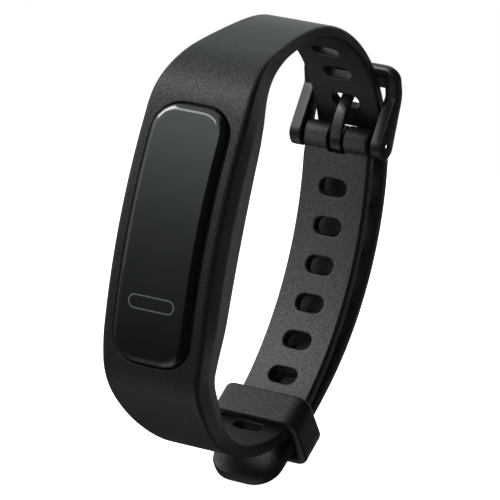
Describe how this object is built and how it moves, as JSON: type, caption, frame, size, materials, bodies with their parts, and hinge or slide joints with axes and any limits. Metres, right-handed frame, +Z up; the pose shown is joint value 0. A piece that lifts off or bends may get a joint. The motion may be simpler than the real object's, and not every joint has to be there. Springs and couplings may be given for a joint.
{
  "type": "fitness tracker band",
  "caption": "Slim fitness tracker: a small glossy display core that pushes out of a matte silicone wrist band, closed by a sprung-pin tang buckle and a free keeper loop.",
  "frame": {"origin": "centre of the core's flat wrist-side face", "axes": "+Y from that face to the wrist and the buckle, so the display looks along -Y; +Z up along the display's long side; X across the band"},
  "size_m": [0.0168, 0.0596, 0.0713],
  "materials": {
    "silicone": "fine matte",
    "lens_black": "high gloss",
    "key_ink": "printed, satin",
    "case_plastic": "gloss",
    "cover_plastic": "fine spark texture",
    "adhesive": "matt film",
    "seal": "smooth",
    "buckle_black": "satin black coating",
    "pin_steel": "bright",
    "contact_gold": "plated, polished",
    "panel_glass": "gloss",
    "flex_amber": "satin film",
    "copper": "bright",
    "frame_grey": "moulded",
    "board_green": "solder mask",
    "chip_black": "moulded",
    "pouch_foil": "crinkled foil",
    "lead_wire": "insulation",
    "motor_steel": "drawn",
    "tungsten": "sintered"
  },
  "bodies": {
    "band": {"strap": "silicone", "pin_tube": "buckle_black", "pin_spring": "pin_steel"},
    "core": {"cover_lens": "lens_black", "key_mark": "key_ink", "lens_adhesive": "adhesive", "core_case": "case_plastic", "case_seal": "seal", "base_cover": "cover_plastic", "charging_contacts": "contact_gold", "display_panel": "panel_glass", "display_flex": "flex_amber", "touch_electrode": "copper", "inner_frame": "frame_grey", "main_board": "board_green", "processor_chip": "chip_black", "motion_sensor": "chip_black", "memory_chip": "chip_black", "power_chip": "chip_black", "antenna": "copper", "battery": "pouch_foil", "battery_lead": "lead_wire", "motor_can": "motor_steel", "motor_cap": "motor_steel"},
    "motor_weight": {"motor_weight": "tungsten"},
    "buckle_frame": {"buckle_frame": "buckle_black"},
    "buckle_tang": {"buckle_tang": "buckle_black"},
    "keeper": {"keeper_loop": "silicone"},
    "plunger_left": {"pin_plunger_left": "pin_steel"},
    "plunger_right": {"pin_plunger_right": "pin_steel"}
  },
  "joints": [
    {"name": "core_release", "type": "slide", "parent": "band", "child": "core", "axis": [0, -1, 0], "range_m": [0, 0.014]},
    {"name": "motor_spin", "type": "hinge", "parent": "core", "child": "motor_weight", "pos_m": [0, -0.0045, -0.012], "axis": [0, 1, 0], "continuous": true},
    {"name": "buckle_swing", "type": "hinge", "parent": "band", "child": "buckle_frame", "pos_m": [0, 0.0403, 0.0181], "axis": [1, 0, 0], "range_deg": [-8, 3]},
    {"name": "tang_lift", "type": "hinge", "parent": "buckle_frame", "child": "buckle_tang", "pos_m": [0, 0.0403, 0.0181], "axis": [1, 0, 0], "range_deg": [-4, 0]},
    {"name": "keeper_slide", "type": "slide", "parent": "band", "child": "keeper", "axis": [0, 0.6307, 0.776], "range_m": [-0.0002, 0.006]},
    {"name": "plunger_left_travel", "type": "slide", "parent": "band", "child": "plunger_left", "axis": [1, 0, 0], "range_m": [0, 0.00175], "stiffness_N_per_m": 2, "springref_m": -0.001, "deforming": ["pin_spring"]},
    {"name": "plunger_right_travel", "type": "slide", "parent": "band", "child": "plunger_right", "axis": [-1, 0, 0], "range_m": [0, 0.00175], "stiffness_N_per_m": 2, "springref_m": -0.001, "deforming": ["pin_spring"]}
  ]
}
